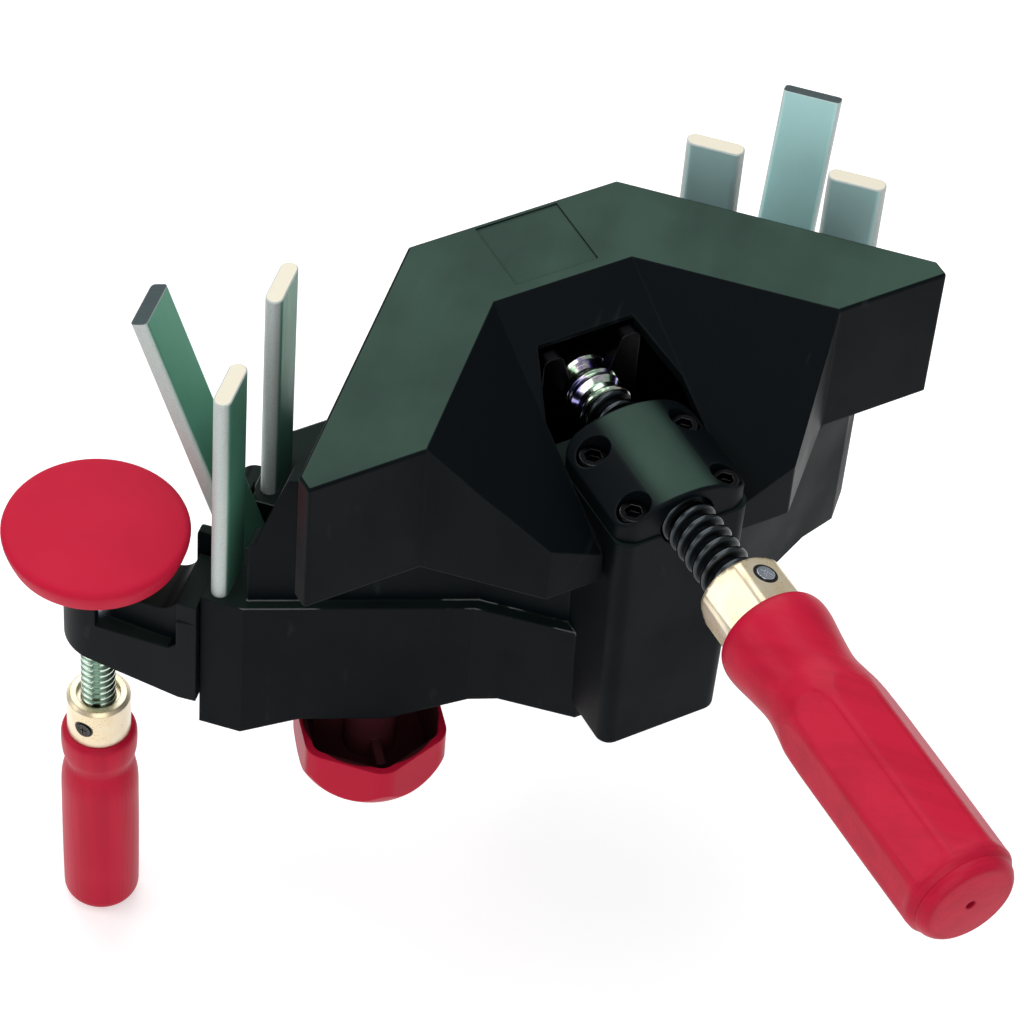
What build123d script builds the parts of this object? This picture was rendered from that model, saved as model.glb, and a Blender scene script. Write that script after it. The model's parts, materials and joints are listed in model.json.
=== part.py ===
from build123d import *
import os
from math import cos, degrees, radians, sin, sqrt

# Door frame corner clamp, in millimetres
# The faces of the two boards meet over the origin: the left board lies against X = 0,
# the right board against Y = 0, and both stand on the deck, Z = 0.
# The two arms mirror each other across the diagonal Y = -X, along which the spindle runs.

root2 = sqrt(2)
symmetry = Plane(origin=(0, 0, 0), z_dir=(1, 1, 0))
slip = 0.05
free_gap = 0.3

# Base
foot_bottom = -62.5
base_bottom = -56.0
centre_bottom = -42.0
base_wall = 4.0
floor_thick = 4.5
rail_side = -2.0
rail_depth = 26.0
end_face = -178.0
end_corner = 12.6
base_back = 69.0
pedestal_top = 41.2
pedestal_side = 36.9
rib_depth = 8.0
rib_top = 57.0
bulge_side = -12.5
bulge_near = -155.5
bulge_far = -107.0
cheek_side = -11.2
cheek_top = 6.0
lever_room_low = -38.5

# Nose, which carries the spindle nut
nose_back = 163.0
nose_front = 212.3
nose_top = 63.0
nose_bottom = -35.0
nose_half_top = 23.8
nose_half_bottom = 22.0

# Hood
hood_top = 95.0
hood_bottom = 41.5
hood_wall = 3.5
hood_side = 37.3
hood_end_y = -205.2
hood_front_y = -176.3
hood_front_t = 204.0
hood_front_half = 44.6
trough_t = 125.2
trough_half = 25.4
trough_fall = 0.53
slot_back = 141.2
slot_back_half = 17.3
slot_half = 25.0
slot_wide_t = 163.0
recess_mid = 107.2
recess_length = 28.4
recess_half = 15.0
recess_depth = 0.6

# Bars, fixed and swinging
bar_width = 20.0
bar_thick = 6.0
bar_top = 90.0
bar_foot = -22.0
foot_step = 0.3
foot_width = bar_width - 2 * foot_step
foot_thick = bar_thick - 2 * foot_step
bar_ys = {"near": -166.0, "far": -117.0}
cross_pin_z = -12.0
cross_pin_radius = 2.0

# Levers: their outline is drawn upright round the pivot, then leans outward at rest
lever_y = -141.5
lever_width = 18.6
pivot_x = -6.0
pivot_z = -14.4
lever_tilt = 19.4
hub_radius = 6.5
pivot_pin_radius = 3.0
bar_offset = 9.0
lever_bar_low = -26.0
lever_bar_high = 107.5
drive_point = (4.0, -32.0)
drive_lug_radius = 5.0
drive_pin_radius = 3.0
drive_pin_end = -112.5
rivet_radius = 2.5
lever_rivets_at = [(0.0, -8.0), (0.0, -20.0)]

# Thrust beam and yoke plate
beam_low = -36.0
beam_high = -29.0
yoke_back = 143.0
yoke_front = 147.0
yoke_half = 17.7
yoke_top = 84.0
flare_low = 68.0
flare_half = 11.0
neck_radius = 6.0
drive_plate_low = -50.0
drive_plate_near = -130.0
drive_plate_far = -124.0
beam_far = -122.0
drive_slot = 6.8
yoke_screws_at = [(-8.5, -10.0), (8.5, -10.0), (-8.5, -26.0), (8.5, -26.0)]

# Main spindle, its nut and its handle
axis_z = 66.0
thread_radius = 9.0
spool_back = 138.6
thread_start = 158.5
tang_end = 300.0
ferrule_start = 243.5
ferrule_end = 262.2
ferrule_flats = 26.5
ferrule_pin_t = 251.0
ferrule_pin_radius = 3.0
ferrule_roll = radians(72)
handle_neck = 10.8
handle_end = 379.5
nut_start = 180.0
nut_end = 204.0
nut_radius = 10.6
cover_back = 169.2
cover_front = 211.6
cover_half = 23.5
cover_edge = 69.0
cover_crown = 78.3
cover_screws = [(179.3, -16.6), (179.3, 16.6), (205.7, -16.6), (205.7, 16.6)]
cover_seat = 66.0
cover_screw_radius = 3.0
cover_head_radius = 4.8

# Support arm, with the small spindle, the pressure disc and the locking knob
small_axis = (-40.4, -172.5)
knob_axis = (49.6, -148.9)
arm_angle = 14.6
tongue_low = -36.5
tongue_high = -27.5
tongue_width = 13.0
tongue_inner = 28.5
tongue_outer = -69.5
tongue_travel = 20.0
bolt_radius = 4.0
bolt_top = -19.0
lobe_radius = 11.2
lobe_top = -11.0
flange_box = (-9.5, -2.4, -181.0, -157.4)
flange_top = -2.5
flange_low = -50.0
bush_radius = 8.2
tongue_pins_at = [(-59.5, 0.0), (-67.5, 0.0)]
tongue_pin_radius = 1.5
small_radius = 6.0
journal_radius = 5.0
disc_radius = 31.2
disc_low = 5.0
disc_top = 15.0
disc_hub_low = -2.0
retainer_radius = 7.6
retainer_high = 0.4
small_ferrule_top = -69.0
small_ferrule_low = -86.2
small_ferrule_radius = 11.0
small_neck = 8.6
small_pin_angle = -98.0
small_pin_radius = 2.6
small_tang = -112.0
small_handle_low = -176.0
knob_rim = -70.5
knob_low = -91.0
knob_radius = 27.0
knob_turn = 45.3
knob_hub_radius = 9.0
knob_hub_top = -58.2
insert_radius = 6.0
insert_length = 18.0

# Housing screws stand in columns, two in each arm
columns = [(50.0, -132.5), (51.0, -90.5)]
column_radius = 5.5
screw_radius = 2.5
screw_head_radius = 4.25
screw_recess = 6.0


def plan_point(t, u=0.0):
    """Plan point at distance t along the diagonal and u across it."""
    return ((t + u) / root2, (u - t) / root2)


def both_arms(points):
    """Closed outline: the left arm's points, then their mirror images."""
    return points + [(-y, -x) for x, y in reversed(points)]


def level_plane(z):
    """Level plane with its x along the diagonal and its y across it."""
    return Plane(origin=(0, 0, z), x_dir=(1, -1, 0), z_dir=(0, 0, 1))


def cross_plane(t, z=0.0):
    """Upright plane across the diagonal, facing the handle: x across, y up."""
    return Plane(origin=(*plan_point(t), z), x_dir=(1, 1, 0), z_dir=(1, -1, 0))


def long_plane(z=0.0, u=0.0):
    """Upright plane along the diagonal: x along it, y up."""
    return Plane(origin=(*plan_point(0, u), z), x_dir=(1, -1, 0), z_dir=(-1, -1, 0))


def upright_plane(y):
    """Upright plane facing -Y: x is X, y is Z."""
    return Plane(origin=(0, y, 0), x_dir=(1, 0, 0), z_dir=(0, -1, 0))


def write(piece, name):
    """Labels a finished piece and writes its STEP file."""
    piece.label = name
    export_step(piece, f"parts/{name}.step")


def write_pair(piece, name):
    """Writes a piece of the left arm and its mirror image on the right arm."""
    write(piece, "left_" + name)
    with BuildPart() as other:
        mirror(piece, about=symmetry)
    write(other.part, "right_" + name)


def on_spindle(*profile):
    """Solid of revolution on the main spindle's axis, from (distance, radius) points."""
    with BuildPart() as turned:
        with BuildSketch(long_plane(axis_z)):
            with BuildLine():
                Polyline((profile[0][0], 0), *profile, (profile[-1][0], 0), close=True)
            make_face()
        revolve(axis=Axis((0, 0, axis_z), (1, -1, 0)))
    return turned.part


def upright_turning(centre, profile):
    """Solid of revolution on an upright axis, from (radius, height) points."""
    with BuildPart() as turned:
        with BuildSketch(Plane(origin=(*centre, 0), x_dir=(1, 0, 0), z_dir=(0, -1, 0))):
            with BuildLine():
                Polyline((0, profile[0][1]), *profile, (0, profile[-1][1]), close=True)
            make_face()
        revolve(axis=Axis((*centre, 0), (0, 0, 1)))
    return turned.part


def prism(outline, low, high, inset=0.0):
    """Upright prism on a plan outline, drawn in by inset."""
    with BuildPart() as block:
        with BuildSketch(Plane.XY.offset(low)):
            with BuildLine():
                Polyline(*outline, close=True)
            make_face()
            if inset:
                offset(amount=-inset, kind=Kind.INTERSECTION)
        extrude(amount=high - low)
    return block.part


def trough_block(drop):
    """What the hood's trough leaves open; drop lowers it, for the inner face."""
    lead = 8.0
    rise = 70.0
    reach = rise / (trough_fall * 0.995)
    start_z = hood_top - drop + lead * trough_fall
    with BuildPart() as trough:
        with BuildSketch(cross_plane(trough_t - lead)):
            with BuildLine():
                Polyline(
                    (-trough_half, start_z), (trough_half, start_z),
                    (trough_half + reach, start_z + rise), (-trough_half - reach, start_z + rise),
                    close=True,
                )
            make_face()
        extrude(amount=190.0, dir=(1 / root2, -1 / root2, -trough_fall))
    return trough.part


def cap_screw(plane, shank_radius, length, head_radius, head_height):
    """Socket head screw; the plane's origin is under the head, its z points out of the hole."""
    with BuildPart() as screw:
        with BuildSketch(plane):
            Circle(shank_radius)
        extrude(amount=-length)
        with BuildSketch(plane):
            Circle(head_radius)
        extrude(amount=head_height)
        chamfer(screw.faces().sort_by(Axis(plane.origin, plane.z_dir))[-1].edges(), length=0.5)
        with BuildSketch(plane.offset(head_height)):
            RegularPolygon(shank_radius * 0.85, 6, major_radius=False)
        extrude(amount=-head_height * 0.5, mode=Mode.SUBTRACT)
    return screw.part


os.makedirs("parts", exist_ok=True)

base_outline = both_arms([
    plan_point(base_back, -71.8),
    (rail_side, end_face),
    (end_corner, end_face),
    (84.0, -151.5),
    (121.0, -150.2),
])
pedestal_outline = both_arms([
    (pedestal_side, -92.6),
    (pedestal_side, -164.9),
    (84.0, -147.3),
    (118.0, -146.4),
])
hood_outline = both_arms([
    (hood_side, -91.7),
    (hood_side, hood_end_y + 4.7),
    (hood_side + 4.8, hood_end_y),
    (71.0, hood_front_y),
    plan_point(hood_front_t, -hood_front_half),
])
tilt = radians(lever_tilt)

# Rise of the base's underside between the arms
with BuildPart() as floor_rise:
    with BuildSketch(upright_plane(20.0)):
        with BuildLine():
            Polyline(
                (end_corner, foot_bottom - 8), (end_corner, foot_bottom), (31.0, base_bottom),
                (58.6, base_bottom), (94.2, centre_bottom),
                (210.0, centre_bottom), (210.0, foot_bottom - 8), close=True,
            )
        make_face()
    extrude(amount=240.0)
with BuildPart() as both_rises:
    add(floor_rise.part)
    mirror(floor_rise.part, about=symmetry, mode=Mode.INTERSECT)

# Space inside the base, open at the top into the hood
lower_space = prism(base_outline, foot_bottom + floor_thick, -base_wall, inset=base_wall)
upper_space = prism(pedestal_outline, -base_wall - 1, pedestal_top + 5, inset=base_wall)
with BuildPart() as base_space:
    add(lower_space)
    add(upper_space)
    add(both_rises.part.moved(Location((0, 0, floor_thick))), mode=Mode.SUBTRACT)

# Rail under the bars, inside the base
left_rail = prism(
    [(rail_side + 1, end_face + 1), (17, end_face + 4), (17, -108), (rail_side + 1, -103)],
    -rail_depth, -1.0,
)

# Bulge round the lever's pivot and lower arm
with BuildPart() as left_bulge:
    with BuildSketch(upright_plane(bulge_far)):
        with BuildLine():
            Polyline(
                (pivot_x, pivot_z + hub_radius), (rail_side + 1, pivot_z + hub_radius),
                (rail_side + 1, foot_bottom), (bulge_side, foot_bottom), (bulge_side, pivot_z),
            )
            RadiusArc((bulge_side, pivot_z), (pivot_x, pivot_z + hub_radius), hub_radius)
        make_face()
    extrude(amount=bulge_far - bulge_near)
    fillet(left_bulge.edges().filter_by(Axis.Z).group_by(Axis.X)[0], radius=2.0)
    for y in (bulge_near, lever_y + 10.5):
        with BuildSketch(Plane.XY.offset(pivot_z)):
            with Locations((cheek_side, y)):
                Rectangle(rail_side + 1 - cheek_side, 3.5, align=(Align.MIN, Align.MIN))
        extrude(amount=cheek_top - pivot_z)
    fillet(left_bulge.edges().filter_by(Axis.Y).group_by(Axis.Z)[-1].group_by(Axis.X)[0], radius=1.5)

# Rib at the arm's end: it stands on the deck and leans up to the hood's corner
with BuildPart() as left_rib:
    add(prism([
        (end_corner, -174.0), (pedestal_side, -164.9),
        (pedestal_side, -164.9 + rib_depth), (end_corner, -174.0 + rib_depth),
    ], -1, rib_top))
    with BuildSketch(upright_plane(-140.0)):
        with BuildLine():
            Polyline((end_corner - 2, 27.3), (end_corner + 2, 27.3), (pedestal_side, 98.0),
                     (end_corner - 2, 98.0), close=True)
        make_face()
    extrude(amount=50.0, mode=Mode.SUBTRACT)

# Columns for the housing screws, with their holes
with BuildPart() as left_columns:
    with BuildSketch(Plane.XY.offset(base_bottom + 1)):
        with Locations(*columns):
            Circle(column_radius)
    extrude(amount=pedestal_top - base_bottom - 1)
with BuildPart() as left_column_holes:
    with BuildSketch(Plane.XY.offset(base_bottom - 1)):
        with Locations(*columns):
            Circle(screw_radius + 0.25)
    extrude(amount=pedestal_top - base_bottom + 2)
    with BuildSketch(Plane.XY.offset(base_bottom - 1)):
        with Locations(*columns):
            Circle(screw_head_radius + 0.4)
    extrude(amount=screw_recess + 1)

# What is cut from the left arm: bar sockets, cross pin holes, the lever's slot and chamber
with BuildPart() as left_cuts:
    with BuildSketch(Plane.XY.offset(bar_foot)):
        with Locations(*[(bar_thick / 2, y) for y in bar_ys.values()]):
            SlotOverall(foot_width + 2 * slip, foot_thick + 2 * slip, rotation=90)
    extrude(amount=-bar_foot + 1)
    for y in bar_ys.values():
        with BuildSketch(Plane(origin=(rail_side - 1, y, cross_pin_z), z_dir=(1, 0, 0))):
            Circle(cross_pin_radius + 0.02)
        extrude(amount=14.6)
    with BuildSketch(Plane.XY.offset(-rail_depth - 1)):
        with Locations((-1.0, lever_y)):
            Rectangle(25.0, 21.0)
    extrude(amount=rail_depth + 2)
    with BuildSketch(Plane.XY.offset(foot_bottom + floor_thick)):
        with Locations((bulge_side + base_wall, (bulge_near + bulge_far) / 2 - 0.25)):
            Rectangle(21.0, bulge_far - bulge_near - 7.5, align=(Align.MIN, Align.CENTER))
    extrude(amount=-foot_bottom - floor_thick - rail_depth)
    with BuildSketch(Plane.XY.offset(lever_room_low)):
        with Locations((bulge_side + 1.6, lever_y)):
            Rectangle(20.0, 21.0, align=(Align.MIN, Align.CENTER))
    extrude(amount=-lever_room_low - rail_depth)
    with BuildSketch(Plane(origin=(pivot_x, -120.5, pivot_z), z_dir=(0, -1, 0))):
        Circle(pivot_pin_radius + 0.02)
    extrude(amount=36.0)

# Guide of the support arm: a pillar round the locking bolt and a window in the end wall
arm_plane = Plane(
    origin=(*knob_axis, 0),
    x_dir=(cos(radians(arm_angle)), sin(radians(arm_angle)), 0),
    z_dir=(0, 0, 1),
)
with BuildPart() as arm_pillar:
    with BuildSketch(arm_plane.offset(base_bottom + 1)):
        Circle(7.5)
    extrude(amount=tongue_low - 0.2 - base_bottom - 1)
with BuildPart() as arm_cuts:
    with BuildSketch(arm_plane.offset(tongue_low - free_gap)):
        with Locations((-44.0, 0)):
            Rectangle(40.0, tongue_width + 2 * free_gap)
    extrude(amount=tongue_high - tongue_low + 2 * free_gap)
    with BuildSketch(arm_plane.offset(base_bottom - 1)):
        Circle(bolt_radius + 0.3)
    extrude(amount=40.0)

# Nose, tapered towards its foot and hollow below the nut's seat
with BuildPart() as nose:
    with BuildSketch(cross_plane(nose_back)):
        with BuildLine():
            Polyline(
                (-nose_half_bottom, nose_bottom), (nose_half_bottom, nose_bottom),
                (nose_half_top, nose_top), (-nose_half_top, nose_top), close=True,
            )
        make_face()
    extrude(amount=nose_front - nose_back)
    front_face = nose.faces().sort_by(Axis((0, 0, 0), (1, -1, 0)))[-1]
    fillet(front_face.edges().filter_by(Plane.XY, reverse=True), radius=5.0)
    fillet(nose.faces().sort_by(Axis.Z)[0].edges(), radius=1.5)
with BuildPart() as nose_space:
    with BuildSketch(cross_plane(nose_back - 6)):
        with Locations((0, (nose_bottom + nose_top) / 2 - 5.5)):
            Rectangle(2 * nose_half_bottom - 9, nose_top - nose_bottom - 20)
    extrude(amount=nose_front - nose_back + 1.5)

# Spindle's way through the nose and the nut's cover, wider where the nut sits
with BuildPart() as spindle_way:
    with BuildSketch(cross_plane(nose_back - 2, axis_z)):
        Circle(thread_radius + 0.6)
    extrude(amount=60.0)
    with BuildSketch(cross_plane(nut_start - slip, axis_z)):
        Circle(nut_radius + slip)
    extrude(amount=nut_end - nut_start + 2 * slip)
with BuildPart() as cover_screw_holes:
    with BuildSketch(level_plane(cover_seat - 16)):
        with Locations(*cover_screws):
            Circle(cover_screw_radius + slip)
    extrude(amount=20.0)
    with BuildSketch(level_plane(cover_seat)):
        with Locations(*cover_screws):
            Circle(cover_head_radius + 0.6)
    extrude(amount=15.0)

with BuildPart() as base_housing:
    add(prism(base_outline, foot_bottom, 0))
    add(both_rises.part, mode=Mode.SUBTRACT)
    add(prism(pedestal_outline, -1, pedestal_top))
    add(left_bulge.part)
    add(left_rib.part)
    mirror(left_bulge.part, about=symmetry)
    mirror(left_rib.part, about=symmetry)
    add(nose.part)
    add(base_space.part, mode=Mode.SUBTRACT)
    add(nose_space.part, mode=Mode.SUBTRACT)
    add(left_rail)
    add(left_columns.part)
    mirror(left_rail, about=symmetry)
    mirror(left_columns.part, about=symmetry)
    add(arm_pillar.part)
    for cut in (left_cuts.part, left_column_holes.part):
        add(cut, mode=Mode.SUBTRACT)
        mirror(cut, about=symmetry, mode=Mode.SUBTRACT)
    add(arm_cuts.part, mode=Mode.SUBTRACT)
    add(spindle_way.part, mode=Mode.SUBTRACT)
    add(cover_screw_holes.part, mode=Mode.SUBTRACT)
write(base_housing.part, "base_housing")

# Hood: outer form, less its inner form, the slot over the spindle and a shallow recess
with BuildPart() as hood_form:
    add(prism(hood_outline, hood_bottom, hood_top))
    fillet(hood_form.edges().filter_by(lambda e: e.center().Z > hood_bottom + 1), radius=1.2)
    add(trough_block(0), mode=Mode.SUBTRACT)
with BuildPart() as hood_space:
    add(prism(hood_outline, hood_bottom - 1, hood_top - hood_wall, inset=hood_wall))
    add(trough_block(hood_wall * 1.15), mode=Mode.SUBTRACT)
with BuildPart() as hood_slot:
    with BuildSketch(level_plane(hood_bottom - 1)):
        with BuildLine():
            Polyline(
                (slot_back, -slot_back_half), (slot_wide_t, -slot_half), (nose_front + 5, -slot_half),
                (nose_front + 5, slot_half), (slot_wide_t, slot_half), (slot_back, slot_back_half),
                close=True,
            )
        make_face()
    extrude(amount=hood_top - hood_bottom)
    with BuildSketch(level_plane(yoke_top - 10)):
        with Locations((slot_back - 5.7, 0)):
            Rectangle(14.0, 2 * yoke_half + 1.2)
    extrude(amount=10.6)
with BuildPart() as hood_bosses:
    with BuildSketch(Plane.XY.offset(hood_bottom)):
        with Locations(*columns):
            Circle(column_radius - 0.3)
            Circle(screw_radius + 0.02, mode=Mode.SUBTRACT)
    extrude(amount=hood_top - hood_bottom - 1)
with BuildPart() as hood:
    add(hood_form.part)
    add(hood_space.part, mode=Mode.SUBTRACT)
    add(hood_slot.part, mode=Mode.SUBTRACT)
    add(hood_bosses.part)
    mirror(hood_bosses.part, about=symmetry)
    with BuildSketch(level_plane(hood_top)):
        with Locations((recess_mid, 0)):
            Rectangle(recess_length, 2 * recess_half)
    extrude(amount=-recess_depth, mode=Mode.SUBTRACT)
write(hood.part, "hood")

# Housing screws, from under the base into the hood's bosses
with BuildPart() as left_screws:
    for column in columns:
        add(cap_screw(Plane(origin=(*column, base_bottom + screw_recess), z_dir=(0, 0, -1)),
                      screw_radius, hood_bottom + 12 - base_bottom - screw_recess, screw_head_radius, 5.0))
with BuildPart() as housing_screws:
    add(left_screws.part)
    mirror(left_screws.part, about=symmetry)
write(housing_screws.part, "housing_screws")

# Cover over the spindle nut, arched across, with four counterbored holes
with BuildPart() as nut_cover:
    with BuildSketch(cross_plane(cover_back)):
        with BuildLine():
            Polyline((-cover_half, cover_edge), (-cover_half, nose_top),
                     (cover_half, nose_top), (cover_half, cover_edge))
            ThreePointArc((cover_half, cover_edge), (0, cover_crown), (-cover_half, cover_edge))
        make_face()
    extrude(amount=cover_front - cover_back)
    fillet(nut_cover.edges().filter_by(Axis.Z), radius=7.0)
    fillet(nut_cover.edges().group_by(Axis.Z)[-1], radius=1.2)
    add(spindle_way.part, mode=Mode.SUBTRACT)
    add(cover_screw_holes.part, mode=Mode.SUBTRACT)
write(nut_cover.part, "nut_cover")

# Cap screws of the nut's cover
with BuildPart() as nut_cover_screws:
    for t, u in cover_screws:
        add(cap_screw(Plane(origin=(*plan_point(t, u), cover_seat), z_dir=(0, 0, 1)),
                      cover_screw_radius, 15.0, cover_head_radius, 5.6))
write(nut_cover_screws.part, "nut_cover_screws")

# Spindle nut: a round bush between nose and cover
with BuildPart() as spindle_nut:
    with BuildSketch(cross_plane(nut_start, axis_z)):
        Circle(nut_radius)
        Circle(thread_radius + slip, mode=Mode.SUBTRACT)
    extrude(amount=nut_end - nut_start)
write(spindle_nut.part, "spindle_nut")

# Main spindle: spool, thread and the tang inside the handle
write(on_spindle(
    (spool_back, 7.6), (spool_back + 1.2, 9.0), (yoke_back - 0.9, 9.0), (yoke_back - 0.3, 8.4),
    (yoke_back - 0.3, neck_radius), (yoke_front + 0.3, neck_radius),
    (yoke_front + 0.3, 8.6), (yoke_front + 0.8, 9.2), (yoke_front + 2.0, 9.2),
    (yoke_front + 2.4, 8.3), (yoke_front + 3.2, 8.3), (yoke_front + 3.6, 9.0),
    (yoke_front + 4.6, 9.0), (yoke_front + 6.6, 7.2), (yoke_front + 8.4, 7.2),
    (yoke_front + 10.6, 9.4), (thread_start - 0.4, 9.4), (thread_start, 8.8),
    (thread_start, thread_radius), (ferrule_end - 7.2, thread_radius),
    (ferrule_end - 7.2, neck_radius), (tang_end, neck_radius),
), "main_spindle")

# Hexagonal ferrule with the pin that holds it to the spindle
pin_plane = Plane(
    origin=(*plan_point(ferrule_pin_t), axis_z),
    z_dir=(cos(ferrule_roll) / root2, cos(ferrule_roll) / root2, sin(ferrule_roll)),
)
with BuildPart() as main_ferrule:
    with BuildSketch(cross_plane(ferrule_start, axis_z)):
        RegularPolygon(ferrule_flats / 2, 6, major_radius=False, rotation=degrees(ferrule_roll) + 30)
    extrude(amount=ferrule_end - ferrule_start)
    fillet(main_ferrule.edges().filter_by(Axis((0, 0, 0), (1, -1, 0))), radius=1.6)
    chamfer(main_ferrule.faces().sort_by(Axis((0, 0, 0), (1, -1, 0)))[0].edges(), length=0.7)
    with BuildSketch(cross_plane(ferrule_start - 1, axis_z)):
        Circle(thread_radius + slip)
    extrude(amount=ferrule_end - ferrule_start + 2, mode=Mode.SUBTRACT)
    with BuildSketch(cross_plane(ferrule_end, axis_z)):
        Circle(handle_neck + slip)
    extrude(amount=-7.0, mode=Mode.SUBTRACT)
    with BuildSketch(pin_plane):
        Circle(ferrule_pin_radius + slip)
    extrude(amount=ferrule_flats, mode=Mode.SUBTRACT)
write(main_ferrule.part, "main_ferrule")
with BuildPart() as main_ferrule_pin:
    with BuildSketch(pin_plane.offset(thread_radius + 2 * slip)):
        Circle(ferrule_pin_radius)
    extrude(amount=ferrule_flats / 2 + 0.3 - thread_radius)
    with BuildSketch(pin_plane.offset(ferrule_flats / 2 + 0.3)):
        Rectangle(ferrule_pin_radius * 1.3, 0.7)
        Rectangle(0.7, ferrule_pin_radius * 1.3)
    extrude(amount=-0.9, mode=Mode.SUBTRACT)
write(main_ferrule_pin.part, "main_ferrule_pin")


def grip(axis_plane, axis, start, end, neck, neck_length, radii, tang, hole_depth):
    """Turned handle: a neck for the ferrule, a shoulder, a waist and a barrel."""
    shoulder, waist, barrel = radii
    length = end - start
    body = start + neck_length
    with BuildPart() as handle:
        with BuildSketch(axis_plane):
            with BuildLine():
                Polyline((start, tang), (start, neck), (body, neck), (body, shoulder - 1.6))
                Spline(
                    (body, shoulder - 1.6), (body + length * 0.045, shoulder),
                    (body + length * 0.21, waist), (body + length * 0.335, barrel - 0.3),
                    (body + length * 0.6, barrel), (end - barrel * 0.34, barrel - 0.2),
                    tangents=((0.4, 1), (1, 0)),
                )
                RadiusArc((end - barrel * 0.34, barrel - 0.2), (end, barrel * 0.66), barrel * 0.34)
                Polyline((end, barrel * 0.66), (end, hole_depth[0]),
                         (end - hole_depth[1], hole_depth[0]), (end - hole_depth[1], 0),
                         (start + hole_depth[2], 0), (start + hole_depth[2], tang), (start, tang))
            make_face()
        revolve(axis=axis)
    return handle.part


write(grip(long_plane(axis_z), Axis((0, 0, axis_z), (1, -1, 0)), ferrule_end - 6.7, handle_end,
           handle_neck, 6.9, (18.4, 16.2, 18.6), neck_radius + slip, (1.6, 4.0, 52.0)), "main_handle")

# Yoke plate, which holds the spool in an open slot
with BuildPart() as yoke_plate:
    with BuildSketch(cross_plane(yoke_back)):
        with Locations((0, (yoke_top + beam_low) / 2)):
            Rectangle(2 * yoke_half, yoke_top - beam_low)
        with Locations((0, axis_z)):
            Circle(neck_radius + free_gap, mode=Mode.SUBTRACT)
        with Locations((0, (axis_z + yoke_top) / 2 + 1)):
            Rectangle(2 * (neck_radius + free_gap), yoke_top - axis_z + 2, mode=Mode.SUBTRACT)
        with BuildLine():
            Polyline((-neck_radius - free_gap, flare_low), (neck_radius + free_gap, flare_low),
                     (flare_half, yoke_top), (flare_half, yoke_top + 1),
                     (-flare_half, yoke_top + 1), (-flare_half, yoke_top), close=True)
        make_face(mode=Mode.SUBTRACT)
        with Locations(*yoke_screws_at):
            Circle(cover_screw_radius + slip, mode=Mode.SUBTRACT)
    extrude(amount=yoke_front - yoke_back)
    fillet(yoke_plate.edges().filter_by(Axis((0, 0, 0), (1, -1, 0))).group_by(Axis.Z)[-1], radius=2.5)
write(yoke_plate.part, "yoke_plate")

# Thrust beam: block behind the yoke plate and an arm to each lever's drive pin
drive_x = pivot_x + drive_point[0] * cos(tilt) - drive_point[1] * sin(tilt)
drive_z = pivot_z + drive_point[0] * sin(tilt) + drive_point[1] * cos(tilt)
with BuildPart() as left_beam:
    add(prism([
        plan_point(yoke_back), plan_point(yoke_back, -18), (drive_x + 6, drive_plate_near),
        (drive_x - 6, drive_plate_near), (drive_x - 6, beam_far), (drive_x + 6, beam_far),
        plan_point(134, -10), plan_point(134),
    ], beam_low, beam_high))
    add(prism([
        (drive_x + 6, drive_plate_near), (drive_x - 6, drive_plate_near),
        (drive_x - 6, drive_plate_far), (drive_x + 6, drive_plate_far),
    ], drive_plate_low, beam_low))
    with BuildSketch(upright_plane(drive_plate_far + 1)):
        with Locations((drive_x, drive_z)):
            Circle(drive_slot / 2)
        with Locations((drive_x, drive_z - 6)):
            Rectangle(drive_slot, 12)
    extrude(amount=drive_plate_far - drive_plate_near + 2, mode=Mode.SUBTRACT)
with BuildPart() as thrust_beam:
    add(left_beam.part)
    mirror(left_beam.part, about=symmetry)
    with BuildSketch(cross_plane(yoke_back)):
        with Locations((0, beam_low)):
            Rectangle(28, 33, align=(Align.CENTER, Align.MIN))
    extrude(amount=-14.0)
    with BuildSketch(cross_plane(yoke_back + 1)):
        with Locations(*yoke_screws_at):
            Circle(cover_screw_radius + 0.02)
    extrude(amount=-12.0, mode=Mode.SUBTRACT)
write(thrust_beam.part, "thrust_beam")
with BuildPart() as yoke_screws:
    for u, z in yoke_screws_at:
        add(cap_screw(Plane(origin=(*plan_point(yoke_front, u), z), z_dir=(1, -1, 0)),
                      cover_screw_radius, 13.0, cover_head_radius, 5.6))
write(yoke_screws.part, "yoke_screws")


def on_lever(x, z):
    """Place of a point of the left lever's outline, drawn upright round its pivot."""
    return (pivot_x + x * cos(tilt) - z * sin(tilt), pivot_z + x * sin(tilt) + z * cos(tilt))


def lever_plane(half_width):
    """Plane of the left lever's near side: its origin on the pivot, its y up the bar."""
    return Plane(
        origin=(pivot_x, lever_y - half_width, pivot_z),
        x_dir=(cos(tilt), 0, sin(tilt)),
        z_dir=(0, -1, 0),
    )


# Plane of the lever bar's inner face, with its y up the bar
bar_inner = bar_offset + bar_thick / 2
bar_outer = bar_offset - bar_thick / 2
face_x, face_z = on_lever(bar_inner, 0)
lever_bar_face = Plane(
    origin=(face_x, lever_y, face_z), x_dir=(0, 1, 0), z_dir=(cos(tilt), 0, sin(tilt))
)

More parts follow.
